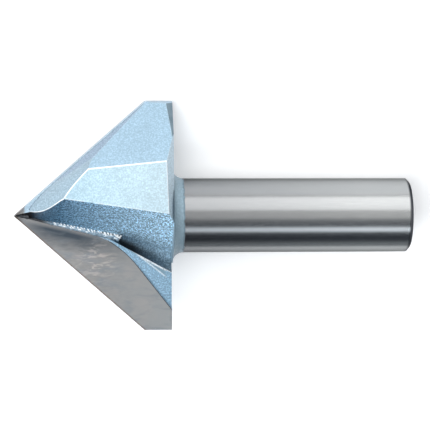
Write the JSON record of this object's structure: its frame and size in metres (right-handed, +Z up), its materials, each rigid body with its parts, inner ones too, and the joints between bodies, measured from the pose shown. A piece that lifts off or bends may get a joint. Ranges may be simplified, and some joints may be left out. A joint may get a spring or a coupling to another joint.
{
  "type": "v groove router bit",
  "caption": "Carbide-tipped V-groove router bit: a flat-winged pointed head painted light blue, with brazed cutting plates and a plain ground round shank.",
  "frame": {"origin": "middle of the bit's box, on the surface that it lies on", "axes": "+X along the bit from its tip towards the shank end, level; +Z up from the surface; +Y to the wing whose blade touches the surface"},
  "size_m": [0.068, 0.0368, 0.0168],
  "materials": {
    "painted_steel": "light blue sprayed enamel on the head and neck, bare ground steel on the shank",
    "carbide": "ground tungsten carbide, faintly stained",
    "braze": "silver brazing alloy with overspray from the head's paint"
  },
  "bodies": {
    "root": {"body": "painted_steel", "carbide_blade_a": "carbide", "carbide_blade_b": "carbide", "braze_seam_a": "braze", "braze_seam_b": "braze"}
  },
  "joints": []
}
